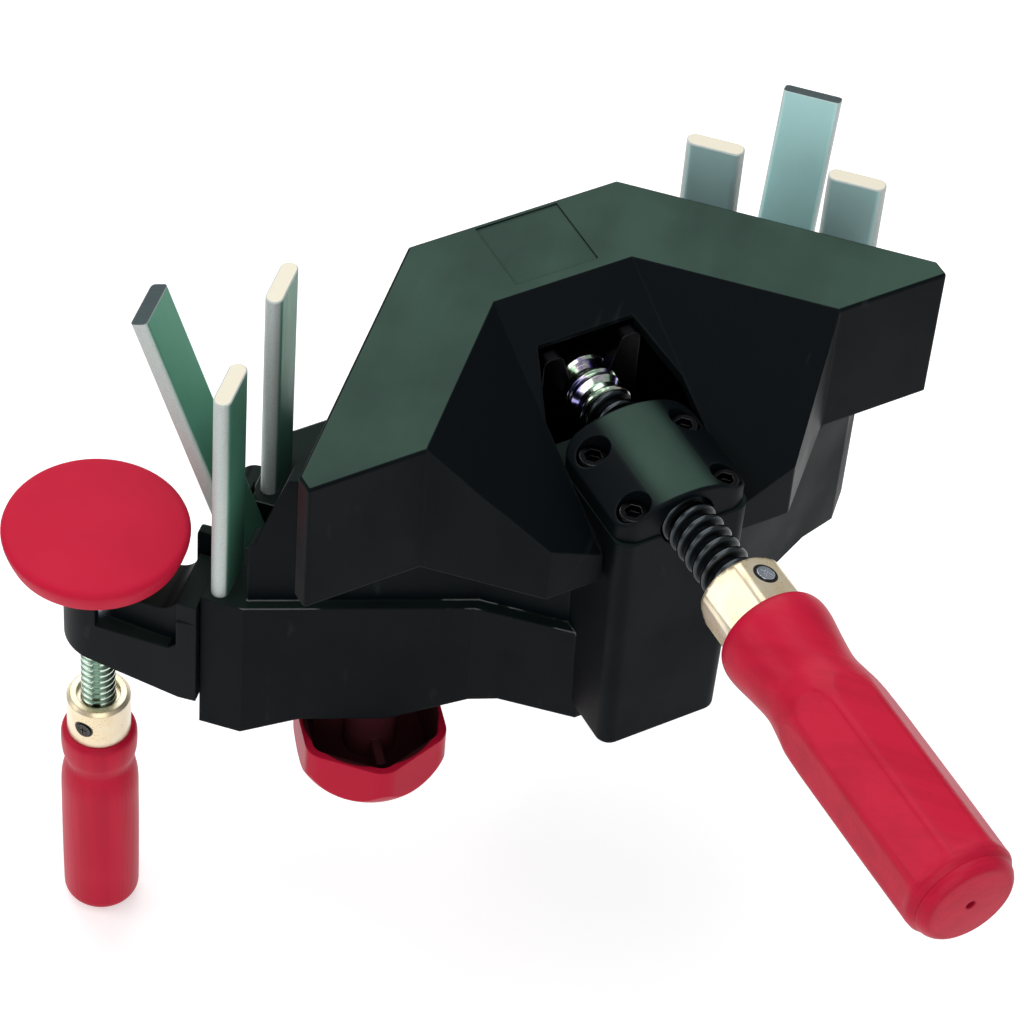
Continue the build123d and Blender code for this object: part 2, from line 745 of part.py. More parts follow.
# Lever block: hub, lug for the drive pin and a pad that the bar is riveted to
with BuildPart() as lever_block:
    with BuildSketch(lever_plane(lever_width / 2)):
        Circle(hub_radius - 0.6)
        with Locations(drive_point):
            Circle(drive_lug_radius)
        make_hull()
        with Locations((0, -11)):
            Rectangle(bar_outer, 30, align=(Align.MIN, Align.CENTER))
        with Locations((bar_outer, lever_bar_low - 0.2)):
            Rectangle(12, 60, align=(Align.MIN, Align.MIN), mode=Mode.SUBTRACT)
        Circle(pivot_pin_radius + slip, mode=Mode.SUBTRACT)
        with Locations(drive_point):
            Circle(drive_pin_radius + 0.02, mode=Mode.SUBTRACT)
    extrude(amount=-lever_width)
    with BuildSketch(lever_bar_face):
        with Locations(*lever_rivets_at):
            Circle(rivet_radius + 0.02)
    extrude(amount=-bar_inner, mode=Mode.SUBTRACT)
write_pair(lever_block.part, "lever_block")
with BuildPart() as lever_bar:
    with BuildSketch(lever_plane(bar_width / 2)):
        with Locations((bar_offset, lever_bar_low)):
            Rectangle(bar_thick, lever_bar_high - lever_bar_low, align=(Align.CENTER, Align.MIN))
    extrude(amount=-bar_width)
    fillet(lever_bar.edges().filter_by(Axis((0, 0, 0), (-sin(tilt), 0, cos(tilt)))), radius=1.6)
    with BuildSketch(lever_bar_face):
        with Locations(*lever_rivets_at):
            Circle(rivet_radius + 0.02)
    extrude(amount=-bar_thick, mode=Mode.SUBTRACT)
write_pair(lever_bar.part, "lever_bar")
with BuildPart() as lever_rivets:
    with BuildSketch(lever_bar_face):
        with Locations(*lever_rivets_at):
            Circle(rivet_radius)
    extrude(amount=-bar_inner + 0.5)
write_pair(lever_rivets.part, "lever_rivets")
with BuildPart() as drive_pin:
    with BuildSketch(upright_plane(drive_pin_end)):
        with Locations(on_lever(*drive_point)):
            Circle(drive_pin_radius)
    extrude(amount=drive_pin_end - lever_y + lever_width / 2)
write_pair(drive_pin.part, "drive_pin")
with BuildPart() as pivot_pin:
    with BuildSketch(upright_plane(-121.0)):
        with Locations((pivot_x, pivot_z)):
            Circle(pivot_pin_radius)
    extrude(amount=34.0)
write_pair(pivot_pin.part, "pivot_pin")

# Fixed bars: each stands on the deck on a small shoulder, its foot in a socket with a cross pin
for place, y in bar_ys.items():
    with BuildPart() as fixed_bar:
        with BuildSketch(Plane.XY):
            with Locations((bar_thick / 2, y)):
                SlotOverall(bar_width, bar_thick, rotation=90)
        extrude(amount=bar_top)
        with BuildSketch(Plane.XY.offset(bar_foot)):
            with Locations((bar_thick / 2, y)):
                SlotOverall(foot_width, foot_thick, rotation=90)
        extrude(amount=-bar_foot)
        with BuildSketch(Plane(origin=(-1, y, cross_pin_z), z_dir=(1, 0, 0))):
            Circle(cross_pin_radius + 0.02)
        extrude(amount=bar_thick + 2, mode=Mode.SUBTRACT)
        chamfer(fixed_bar.faces().sort_by(Axis.Z)[-1].edges(), length=0.4)
    write_pair(fixed_bar.part, place + "_bar")
with BuildPart() as left_pins:
    for y in bar_ys.values():
        with BuildSketch(Plane(origin=(rail_side + 0.2, y, cross_pin_z), z_dir=(1, 0, 0))):
            Circle(cross_pin_radius)
        extrude(amount=13.0)
with BuildPart() as bar_cross_pins:
    add(left_pins.part)
    mirror(left_pins.part, about=symmetry)
write(bar_cross_pins.part, "bar_cross_pins")

# Support arm: a lobe round the small spindle, joined to a flange beside the base
flange_left, flange_right, flange_near, flange_far = flange_box
with BuildPart() as support_arm:
    with BuildSketch(Plane.XY.offset(flange_low)):
        with Locations(small_axis):
            Circle(lobe_radius)
        with Locations(((flange_left + flange_right) / 2, (flange_near + flange_far) / 2)):
            Rectangle(flange_right - flange_left, flange_far - flange_near)
        make_hull()
    extrude(amount=lobe_top - flange_low)
    with BuildSketch(upright_plane(-140.0)):
        with BuildLine():
            Polyline((-70, -29.6), (flange_left + 1, -49.1), (flange_right + 5, -49.6),
                     (flange_right + 5, -60), (-70, -60), close=True)
        make_face()
    extrude(amount=70.0, mode=Mode.SUBTRACT)
    with BuildSketch(Plane.XY.offset(-30.0)):
        with Locations(((flange_left + flange_right) / 2, (flange_near + flange_far) / 2)):
            Rectangle(flange_right - flange_left, flange_far - flange_near)
    extrude(amount=flange_top + 30)
    with BuildSketch(upright_plane(flange_far)):
        with BuildLine():
            RadiusArc((-17.0, lobe_top), (flange_left, flange_top - 0.5), -8.5)
            Polyline((flange_left, flange_top - 0.5), (flange_left, lobe_top), (-17.0, lobe_top))
        make_face()
    extrude(amount=flange_far - flange_near)
    with BuildSketch(upright_plane(-177.5)):
        with BuildLine():
            Polyline((-37, lobe_top + 12), (-37, -22), (-12, -25), (flange_left + 0.3, -22.5),
                     (flange_left + 0.3, lobe_top + 12), close=True)
        make_face()
    extrude(amount=12.0, mode=Mode.SUBTRACT)
    with BuildSketch(Plane.XY.offset(-60)):
        with Locations(small_axis):
            Circle(bush_radius + 0.02)
    extrude(amount=60.0, mode=Mode.SUBTRACT)
    with BuildSketch(arm_plane.offset(tongue_low - slip)):
        with Locations((tongue_outer - slip, 0)):
            Rectangle(40, tongue_width + 2 * slip, align=(Align.MIN, Align.CENTER))
    extrude(amount=tongue_high - tongue_low + 2 * slip, mode=Mode.SUBTRACT)
    with BuildSketch(arm_plane.offset(tongue_high + 4.2)):
        with Locations(*tongue_pins_at):
            Circle(tongue_pin_radius + 0.02)
    extrude(amount=-40.0, mode=Mode.SUBTRACT)
write(support_arm.part, "support_arm")

# Steel tongue of the arm, slotted for the locking bolt
with BuildPart() as arm_tongue:
    with BuildSketch(arm_plane.offset(tongue_low)):
        with Locations((tongue_outer, 0)):
            Rectangle(tongue_inner - tongue_outer, tongue_width, align=(Align.MIN, Align.CENTER))
        with Locations((tongue_travel / 2, 0)):
            SlotOverall(tongue_travel + 2 * bolt_radius + 0.8, 2 * bolt_radius + 0.6, mode=Mode.SUBTRACT)
        with Locations(*tongue_pins_at):
            Circle(tongue_pin_radius + 0.02, mode=Mode.SUBTRACT)
    extrude(amount=tongue_high - tongue_low)
write(arm_tongue.part, "arm_tongue")
with BuildPart() as tongue_pins:
    with BuildSketch(arm_plane.offset(tongue_low - 7)):
        with Locations(*tongue_pins_at):
            Circle(tongue_pin_radius)
    extrude(amount=tongue_high - tongue_low + 11)
write(tongue_pins.part, "tongue_pins")

# Threaded bush of the arm
with BuildPart() as arm_bush:
    with BuildSketch(Plane.XY.offset(-34.0)):
        with Locations(small_axis):
            Circle(bush_radius)
            Circle(small_radius + slip, mode=Mode.SUBTRACT)
    extrude(amount=lobe_top + 34.6)
write(arm_bush.part, "arm_bush")

# Pressure disc with a hub that turns on the small spindle's journal
with BuildPart() as pressure_disc:
    add(upright_turning(small_axis, [
        (12.0, disc_hub_low), (12.0, disc_low - 1.0), (13.0, disc_low), (disc_radius - 4.0, disc_low),
        (disc_radius - 3.0, disc_low + 0.8), (disc_radius, disc_top - 2.4),
        (disc_radius - 0.3, disc_top - 1.2), (disc_radius - 1.1, disc_top - 0.4),
        (disc_radius - 2.2, disc_top),
    ]))
    with BuildSketch(Plane.XY.offset(disc_hub_low - 1)):
        with Locations(small_axis):
            Circle(journal_radius + slip)
    extrude(amount=11.0, mode=Mode.SUBTRACT)
    with BuildSketch(Plane.XY.offset(disc_hub_low - 1)):
        with Locations(small_axis):
            Circle(retainer_radius)
    extrude(amount=retainer_high - disc_hub_low + 1, mode=Mode.SUBTRACT)
write(pressure_disc.part, "pressure_disc")
with BuildPart() as disc_retainer:
    with BuildSketch(Plane.XY.offset(retainer_high - 1.4)):
        with Locations(small_axis):
            Circle(retainer_radius)
            Circle(journal_radius - 0.5, mode=Mode.SUBTRACT)
    extrude(amount=1.4)
write(disc_retainer.part, "disc_retainer")

# Small spindle, hung from the disc, with its ferrule and handle
groove_radius = journal_radius - 0.9
write(upright_turning(small_axis, [
    (4.5, small_tang), (4.5, small_ferrule_low + 4.8), (small_radius, small_ferrule_low + 4.8),
    (small_radius, disc_hub_low - 1.6), (journal_radius, disc_hub_low - 0.8),
    (journal_radius, retainer_high - 1.7), (groove_radius, retainer_high - 1.7),
    (groove_radius, retainer_high + 0.3), (journal_radius, retainer_high + 0.3),
    (journal_radius, 6.6), (journal_radius - 1, 7.6),
]), "small_spindle")
small_pin_plane = Plane(
    origin=(*small_axis, -77.8), z_dir=(cos(radians(small_pin_angle)), sin(radians(small_pin_angle)), 0)
)
with BuildPart() as small_ferrule:
    add(upright_turning(small_axis, [
        (small_ferrule_radius, small_ferrule_low), (small_ferrule_radius, small_ferrule_top - 1.2),
        (small_ferrule_radius - 1.2, small_ferrule_top), (7.6, small_ferrule_top),
        (7.6, small_ferrule_top - 2.0),
    ]))
    with BuildSketch(Plane.XY.offset(small_ferrule_low - 1)):
        with Locations(small_axis):
            Circle(small_radius + slip)
    extrude(amount=20.0, mode=Mode.SUBTRACT)
    with BuildSketch(Plane.XY.offset(small_ferrule_low - 1)):
        with Locations(small_axis):
            Circle(small_neck + slip)
    extrude(amount=6.0, mode=Mode.SUBTRACT)
    with BuildSketch(small_pin_plane):
        Circle(small_pin_radius + slip)
    extrude(amount=14.0, mode=Mode.SUBTRACT)
write(small_ferrule.part, "small_ferrule")
with BuildPart() as small_ferrule_pin:
    with BuildSketch(small_pin_plane.offset(small_radius + 2 * slip)):
        Circle(small_pin_radius)
    extrude(amount=small_ferrule_radius + 0.3 - small_radius)
    with BuildSketch(small_pin_plane.offset(small_ferrule_radius + 0.4)):
        Rectangle(small_pin_radius * 1.3, 0.6)
        Rectangle(0.6, small_pin_radius * 1.3)
    extrude(amount=-0.9, mode=Mode.SUBTRACT)
write(small_ferrule_pin.part, "small_ferrule_pin")
small_grip_plane = Plane(origin=(*small_axis, 0), x_dir=(0, 0, -1), z_dir=(0, -1, 0))
write(grip(small_grip_plane, Axis((*small_axis, 0), (0, 0, -1)), -small_ferrule_low - 4.7,
           -small_handle_low, small_neck, 4.9, (13.2, 12.0, 13.5), 4.5 + slip, (1.2, 2.5, 32.0)),
      "small_handle")

# Locking knob: a ribbed cup, its metal insert, the bolt, its washer and the nut it pulls
with BuildPart() as knob_dome:
    with BuildSketch(Plane(origin=(*knob_axis, 0), x_dir=(1, 0, 0), z_dir=(0, -1, 0))):
        with BuildLine():
            Polyline((knob_radius - 7, knob_low), (0, knob_low), (0, knob_rim + 1),
                     (knob_radius + 4, knob_rim + 1), (knob_radius + 1, knob_rim - 9))
            Spline((knob_radius + 1, knob_rim - 9), (knob_radius - 1.8, knob_low + 3.6),
                   (knob_radius - 7, knob_low), tangents=((-0.2, -1), (-1, 0)))
        make_face()
    revolve(axis=Axis((*knob_axis, 0), (0, 0, 1)))
with BuildPart() as knob:
    with BuildSketch(arm_plane.offset(knob_low)) as knob_outline:
        RegularPolygon(knob_radius + 1.3, 6, rotation=knob_turn)
        fillet(knob_outline.vertices(), radius=8.0)
    extrude(amount=knob_rim - knob_low)
    add(knob_dome.part, mode=Mode.INTERSECT)
    with BuildSketch(arm_plane.offset(knob_rim)) as knob_mouth:
        RegularPolygon(knob_radius + 1.3, 6, rotation=knob_turn)
        fillet(knob_mouth.vertices(), radius=8.0)
        offset(amount=-2.6)
    extrude(amount=-13.0, taper=14.0, mode=Mode.SUBTRACT)
    with BuildSketch(arm_plane.offset(knob_rim - 14)):
        Circle(knob_hub_radius)
    extrude(amount=knob_hub_top - knob_rim + 14)
    with BuildSketch(arm_plane.offset(knob_rim - 14)):
        for turn in range(3):
            with Locations(Rotation(0, 0, 120 * turn + knob_turn)):
                Rectangle(knob_radius - 7, 3.0, align=(Align.MIN, Align.CENTER))
    extrude(amount=11.0)
    with BuildSketch(arm_plane.offset(knob_hub_top)):
        Circle(insert_radius + 0.02)
    extrude(amount=-insert_length, mode=Mode.SUBTRACT)
write(knob.part, "knob")
with BuildPart() as knob_insert:
    with BuildSketch(arm_plane.offset(knob_hub_top)):
        Circle(insert_radius)
        Circle(bolt_radius + 0.02, mode=Mode.SUBTRACT)
    extrude(amount=-insert_length)
write(knob_insert.part, "knob_insert")
with BuildPart() as knob_bolt:
    with BuildSketch(arm_plane.offset(knob_hub_top - insert_length)):
        Circle(bolt_radius)
    extrude(amount=bolt_top - knob_hub_top + insert_length)
    chamfer(knob_bolt.faces().sort_by(Axis.Z)[-1].edges(), length=0.8)
write(knob_bolt.part, "knob_bolt")
with BuildPart() as knob_washer:
    with BuildSketch(arm_plane.offset(knob_hub_top + 0.1)):
        Circle(9.0)
        Circle(bolt_radius + free_gap, mode=Mode.SUBTRACT)
    extrude(amount=1.6)
write(knob_washer.part, "knob_washer")
with BuildPart() as clamp_nut:
    with BuildSketch(arm_plane.offset(tongue_high + 0.3)):
        Rectangle(14.0, tongue_width + 3.4)
    extrude(amount=6.0)
    with BuildSketch(arm_plane.offset(tongue_high - 5.0)):
        Rectangle(14.0, tongue_width + 3.4)
        Rectangle(14.0, tongue_width + 0.6, mode=Mode.SUBTRACT)
    extrude(amount=6.0)
    with BuildSketch(arm_plane.offset(tongue_high)):
        Circle(bolt_radius + slip)
    extrude(amount=10.0, mode=Mode.SUBTRACT)
write(clamp_nut.part, "clamp_nut")
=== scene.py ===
import json
import math

import bmesh
import bpy
from mathutils import Matrix, Vector


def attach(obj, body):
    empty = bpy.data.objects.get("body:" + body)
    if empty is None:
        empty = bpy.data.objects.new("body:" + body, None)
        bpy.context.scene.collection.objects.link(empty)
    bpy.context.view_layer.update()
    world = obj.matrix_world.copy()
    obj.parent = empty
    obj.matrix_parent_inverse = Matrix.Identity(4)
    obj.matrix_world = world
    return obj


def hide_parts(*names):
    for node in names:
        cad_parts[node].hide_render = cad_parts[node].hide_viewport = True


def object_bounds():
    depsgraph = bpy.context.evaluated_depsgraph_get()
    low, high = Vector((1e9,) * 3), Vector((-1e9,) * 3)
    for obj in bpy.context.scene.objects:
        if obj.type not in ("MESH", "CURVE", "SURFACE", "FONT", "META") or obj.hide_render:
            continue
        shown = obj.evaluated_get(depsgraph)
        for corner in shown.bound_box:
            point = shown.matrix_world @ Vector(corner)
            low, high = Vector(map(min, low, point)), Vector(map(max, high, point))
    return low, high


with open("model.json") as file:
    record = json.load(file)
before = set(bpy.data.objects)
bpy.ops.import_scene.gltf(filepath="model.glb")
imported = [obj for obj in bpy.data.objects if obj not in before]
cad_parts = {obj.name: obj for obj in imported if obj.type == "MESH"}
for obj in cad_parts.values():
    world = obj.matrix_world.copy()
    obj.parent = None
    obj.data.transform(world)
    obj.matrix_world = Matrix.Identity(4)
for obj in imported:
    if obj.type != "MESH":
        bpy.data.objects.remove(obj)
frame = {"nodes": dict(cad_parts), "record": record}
nodes = frame["nodes"]
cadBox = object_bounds()
print("frame loaded:", len(nodes), "nodes")

# Frame of the main spindle: Z along it towards the handle, X across, Y up
half = math.sqrt(0.5)
mainHeight = 0.066
mainAxis = Matrix(((half, 0, half, 0), (half, 0, -half, 0), (0, 1, 0, mainHeight), (0, 0, 0, 1)))

# Frames of the small spindle, which stands upright, and of its grip, which is outlined from the top down
sidePlace = (-0.0404, -0.1725, 0)
sideAxis = Matrix.Translation(sidePlace)
downwards = sideAxis @ Matrix.Rotation(math.pi, 4, "X")


# Shader maths: a wrapped socket that adds Math nodes when it is used in an expression
class Wire:
    def __init__(self, finish, socket):
        self.finish = finish
        self.socket = socket

    def join(self, operation, first, second):
        return self.finish.node("Math", {"operation": operation}, {0: first, 1: second})

    def __add__(self, other):
        return self.join("ADD", self, other)

    def __radd__(self, other):
        return self.join("ADD", other, self)

    def __sub__(self, other):
        return self.join("SUBTRACT", self, other)

    def __rsub__(self, other):
        return self.join("SUBTRACT", other, self)

    def __mul__(self, other):
        return self.join("MULTIPLY", self, other)

    def __rmul__(self, other):
        return self.join("MULTIPLY", other, self)

    def __pow__(self, other):
        return self.join("POWER", self, other)


# Cosines of the angle between a normal and the way a flat face looks
flush = 0.995  # about 6 degrees: still flat
leaning = 0.93  # about 20 degrees: an edge or a slope


# One material with its Principled shader; node() adds any node, setting it before feeding it
class Finish:
    def __init__(self, name, **plain):
        self.material = bpy.data.materials.new(name)
        self.material.use_nodes = True
        self.tree = self.material.node_tree
        self.shader = self.tree.nodes["Principled BSDF"]
        for socket, value in plain.items():
            self.shader.inputs[socket.replace("_", " ")].default_value = value

    def node(self, kind, settings=None, inputs=None, output=0):
        made = self.tree.nodes.new("ShaderNode" + kind)
        for key, value in (settings or {}).items():
            if key == "stops":
                self.setStops(made.color_ramp, value)
            else:
                setattr(made, key, value)
        for key, value in (inputs or {}).items():
            self.feed(made.inputs[key], value)
        return Wire(self, made.outputs[output])

    def feed(self, socket, value):
        if isinstance(value, Wire):
            self.tree.links.new(value.socket, socket)
        else:
            socket.default_value = value

    def setStops(self, ramp, stops):
        while len(ramp.elements) < len(stops):
            ramp.elements.new(0.5)
        for element, (place, color) in zip(ramp.elements, stops):
            element.position = place
            element.color = (*color, 1)

    def set(self, fed):
        for socket, value in fed.items():
            self.feed(self.shader.inputs[socket], value)
        return self.material

    # Where a point lies, in the frame's metres
    def place(self):
        return self.node("TexCoord", output="Object")

    def height(self):
        return self.node("SeparateXYZ", {}, {0: self.place()}, 2)

    def absolute(self, value):
        return self.node("Math", {"operation": "ABSOLUTE"}, {0: value})

    def vector(self, operation, first, second=(0, 0, 0), output="Vector"):
        return self.node("VectorMath", {"operation": operation}, {0: first, 1: second}, output)

    # How far a surface faces a direction, from -1 to 1
    def facing(self, direction):
        normal = self.node("NewGeometry", output="Normal")
        return self.vector("DOT_PRODUCT", normal, direction, "Value")

    # Cloudy noise round 0.5, drawn out along each axis where its stretch is small
    def noise(self, scale, detail, stretch=(1, 1, 1), turn=(0, 0, 0), seed=0.0):
        mapped = self.node("Mapping", {}, {"Vector": self.place(), "Scale": stretch, "Rotation": turn,
                                           "Location": (seed, seed * 0.7, -seed)})
        return self.node("TexNoise", {}, {"Vector": mapped, "Scale": scale, "Detail": detail}, "Fac")

    def step(self, value, low, high, lowest=0.0, highest=1.0):
        return self.node("MapRange", {"interpolation_type": "SMOOTHSTEP"},
                         {0: value, 1: low, 2: high, 3: lowest, 4: highest})

    def blend(self, mask, first, second):
        first = first if isinstance(first, Wire) else (*first, 1)
        second = second if isinstance(second, Wire) else (*second, 1)
        return self.node("Mix", {"data_type": "RGBA"}, {0: mask, 6: first, 7: second}, 2)

    # Rounds a sharp edge's shading, as a moulded or stamped edge catches the light
    def rounded(self, radius):
        return self.node("Bevel", {"samples": 4}, {"Radius": radius})

    # 1 at an edge, 0 on a flat
    def edges(self, radius, full=leaning):
        flat = self.node("NewGeometry", output="True Normal")
        turn = self.vector("DOT_PRODUCT", self.rounded(radius), flat, "Value")
        return self.step(turn, flush, full)

    def bump(self, height, distance, strength, normal=None):
        fed = {"Height": height, "Distance": distance, "Strength": strength}
        if normal is not None:
            fed["Normal"] = normal
        return self.node("Bump", {}, fed)

    # 1 where a surface lies level and faces up, 0 where it leans more than about 20 degrees
    def level(self):
        return self.step(self.facing((0, 0, 1)), leaning, flush)


def dimmed(color, share):
    return tuple(part * share for part in color)


moulding = {
    "shade": (0.0026, 0.0042, 0.0054),
    # The grey-green below is a painted sheen for light on level faces; shade is the plastic's own black
    "paintedSheenColor": (0.046, 0.088, 0.068),
    "rub": (0.030, 0.038, 0.038),
    # Colour of the painted glint along the deck's edges
    "line": (0.30, 0.32, 0.32),
    "scuff": (0.09, 0.11, 0.11),
    "relief": 0.00003,
    "edgeRadius": 0.0009,
    "glintRadius": 0.0007,
    "glintHeight": (0.0006, 0.0013),
}


# Black glass-filled plastic: fine moulded grain, a painted grey-green sheen on level faces that stands for
# the light falling on them and is broken by cloudy smudges, and rubbed edges.
# The deck's glint is a painted highlight: a broken pale line along the edges at the deck's height, which
# is 0.
def mouldedPlastic(name, paintedSheenShare, roughness, specular, deckGlint=0.0):
    finish = Finish(name, Specular_IOR_Level=specular)
    grain = finish.noise(scale=2600, detail=3.0)
    cloud = finish.noise(scale=30, detail=6.0, seed=3.0)
    smear = finish.noise(scale=60, detail=6.0, stretch=(1.0, 0.22, 0.4), turn=(0, 0, 0.6), seed=9.0)
    scuff = finish.noise(scale=190, detail=5.0, stretch=(1.0, 0.06, 0.3), turn=(0, 0, -0.5), seed=4.0)
    cloud = finish.step(cloud, 0.30, 0.70)
    smear = finish.step(smear, 0.34, 0.70)
    scuff = finish.step(scuff, 0.66, 0.76)
    # Painted sheen: level faces lightened as if light falls on them, in cloudy smudges
    paintedSheenMask = finish.level() * paintedSheenShare * (0.60 + cloud * 0.26 + smear * 0.16)
    rubbed = finish.edges(moulding["edgeRadius"]) * finish.step(cloud, 0.35, 0.62, 0.12, 0.8)
    color = finish.blend(paintedSheenMask, moulding["shade"], moulding["paintedSheenColor"])
    color = finish.blend(rubbed * 0.5, color, moulding["rub"])
    # Painted highlight: a broken pale glint along the edges at the deck's height
    if deckGlint:
        near, far = moulding["glintHeight"]
        line = finish.step(finish.absolute(finish.height()), near, far, 1.0, 0.0)
        line = line * finish.step(cloud, 0.44, 0.56) * finish.edges(moulding["glintRadius"])
        color = finish.blend(line * deckGlint, color, moulding["line"])
    color = finish.blend(scuff * 0.07, color, moulding["scuff"])
    relief = grain + scuff * -0.6
    return finish.set({
        "Base Color": color,
        "Roughness": roughness + (cloud - 0.5) * 0.10 + (smear - 0.5) * 0.08 - rubbed * 0.08,
        "Normal": finish.bump(relief, moulding["relief"], 0.6, finish.rounded(moulding["edgeRadius"])),
    })


zinc = {
    "flat": (0.34, 0.60, 0.56),
    # green: the plating darkened with painted shade, for the left bars; teal below: the same plating
    # lightened with painted light, for the right bars
    "green": (0.14, 0.42, 0.29),
    "paintedLightTeal": (0.56, 0.88, 0.86),
    "edge": (0.60, 0.66, 0.64),
    "speck": (0.34, 0.40, 0.38),
    "rub": (0.8, 0.8, 0.76),
    "cut": (0.82, 0.77, 0.62),
    # The leaning lever bars' cut tops: the same cut as above, painted in shade
    "paintedShadeCut": (0.030, 0.055, 0.060),
    "roughness": 0.40,
    "metal": 0.25,
    "relief": 0.00004,
    "edgeRadius": 0.0005,
    "rubRadius": 0.0006,
    "drawnStretch": 0.03,
    "shadeTop": 0.055,
}


# Zinc-plated flat steel: drawn lengthwise, with a blue-green film and speckled rounded edges.
# A shadeLow below 1 darkens its broad faces towards the foot.
def platedBar(name, along, across, tint=zinc["flat"], cut=zinc["cut"], shadeLow=1.0):
    finish = Finish(name, Metallic=zinc["metal"])
    stretch = tuple(zinc["drawnStretch"] if value else 1.0 for value in along)
    drawn = finish.noise(scale=900, detail=3.0, stretch=stretch)
    film = finish.noise(scale=16, detail=4.0, seed=2.0)
    speck = finish.step(finish.noise(scale=3200, detail=2.0, seed=6.0), 0.42, 0.66)
    flatness = finish.step(finish.absolute(finish.facing(across)), 0.75, 0.97)
    top = finish.step(finish.facing(along), 0.8, 0.95)
    shade = finish.step(finish.height(), 0.0, zinc["shadeTop"], shadeLow, 1.0)
    broad = finish.blend(finish.step(film, 0.35, 0.7), tint, dimmed(tint, 0.86))
    broad = finish.blend(shade, dimmed(tint, 0.2), broad)
    edge = finish.blend(speck * 0.45, zinc["edge"], zinc["speck"])
    color = finish.blend(flatness, edge, broad)
    color = finish.blend(top, color, cut)
    color = finish.blend(finish.edges(zinc["rubRadius"]) * 0.5, color, zinc["rub"])
    relief = drawn * 0.6 + speck * (1 - flatness)
    return finish.set({
        "Base Color": color,
        "Roughness": zinc["roughness"] + (drawn - 0.5) * 0.22 + (1 - flatness) * 0.12 + (film - 0.5) * 0.1,
        "Normal": finish.bump(relief, zinc["relief"], 0.7, finish.rounded(zinc["edgeRadius"])),
    })


steel = {
    "bright": (0.66, 0.67, 0.68),
    "violet": (0.36, 0.34, 0.78),
    "rose": (0.92, 0.86, 0.86),
    "green": (0.50, 0.78, 0.56),
    "straw": (0.95, 0.84, 0.66),
    "relief": 0.00002,
    "edgeRadius": 0.0003,
}


# Turned bright steel with the violet, green and straw tints of its plating
def turnedSteel(name, tint, roughness):
    finish = Finish(name, Metallic=1.0)
    fine = finish.noise(scale=420, detail=2.0, seed=1.0)
    patch = finish.noise(scale=130, detail=3.0, seed=5.0)
    hues = finish.node("ValToRGB", {"stops": [
        (0.34, steel["violet"]), (0.45, steel["rose"]), (0.53, steel["green"]), (0.64, steel["straw"]),
    ]}, {0: patch})
    return finish.set({
        "Base Color": finish.blend(tint, steel["bright"], hues),
        "Roughness": roughness + (fine - 0.5) * 0.14,
        "Normal": finish.bump(fine, steel["relief"], 0.5, finish.rounded(steel["edgeRadius"])),
    })


# Thread steel: darker roots and brighter crests, told apart by their distance from the spindle's axis. The
# crests are partly rubbed wear and partly a painted glint; the roots' darkness is partly the steel's own
# dark finish and partly painted shade in the grooves.
def threadSteel(name, axisPoint, axis, thread):
    finish = Finish(name, Metallic=1.0)
    offset = finish.vector("SUBTRACT", finish.place(), axisPoint)
    radius = finish.vector("LENGTH", finish.vector("CROSS_PRODUCT", offset, axis), output="Value")
    # worn marks the crests: rubbed wear with a painted glint
    worn = finish.step(radius, *thread["wear"]) ** 2.5
    patch = finish.noise(scale=300, detail=4.0, seed=8.0)
    color = finish.blend(worn * (0.7 + patch * 0.5), thread["rootColor"], thread["crestColor"])
    return finish.set({
        "Base Color": color,
        "Roughness": 0.42 - worn * 0.18 + (patch - 0.5) * 0.2,
        "Normal": finish.bump(patch, distance=0.00003, strength=0.5),
    })


straw = {
    "film": (0.84, 0.70, 0.46),
    "thin": (0.90, 0.82, 0.64),
    "edge": (0.20, 0.17, 0.08),
    # Painted shade in the gap round the pin
    "gap": (0.02, 0.02, 0.02),
    "gapFade": 0.0003,
    "edgeRadius": 0.0007,
    "softRadius": 0.0006,
    "relief": 0.00002,
}
# Where each pin comes out of its ferrule, round and along the spindle's axis, and the radius of the
# painted shade in the gap round it
mainPin = {"angle": math.radians(72), "reach": 0.01325, "height": 0.251, "gap": 0.0040}
smallPin = {"angle": math.radians(-98), "reach": 0.011, "height": -0.0778, "gap": 0.0034}


# Yellow-zinc ferrule: straw film, thin in places, dark at its edges, and painted shade in the gap round
# the pin
def strawZinc(name, axis, pin):
    finish = Finish(name, Metallic=0.7)
    film = finish.noise(scale=90, detail=4.0, seed=2.0)
    fine = finish.noise(scale=1400, detail=2.0, seed=7.0)
    color = finish.blend(finish.step(film, 0.35, 0.68), straw["film"], straw["thin"])
    color = finish.blend(finish.edges(straw["edgeRadius"]) * 0.55, color, straw["edge"])
    x, y = pin["reach"] * math.cos(pin["angle"]), pin["reach"] * math.sin(pin["angle"])
    away = finish.vector("DISTANCE", finish.place(), axis @ Vector((x, y, pin["height"])), "Value")
    # Painted shade fills the gap round the pin
    gap = finish.step(away, pin["gap"], pin["gap"] + straw["gapFade"], 1.0, 0.0)
    color = finish.blend(gap, color, straw["gap"])
    return finish.set({
        "Base Color": color,
        "Roughness": 0.30 + (film - 0.5) * 0.16 + (fine - 0.5) * 0.1,
        "Normal": finish.bump(fine, straw["relief"], 0.5, finish.rounded(straw["softRadius"])),
    })


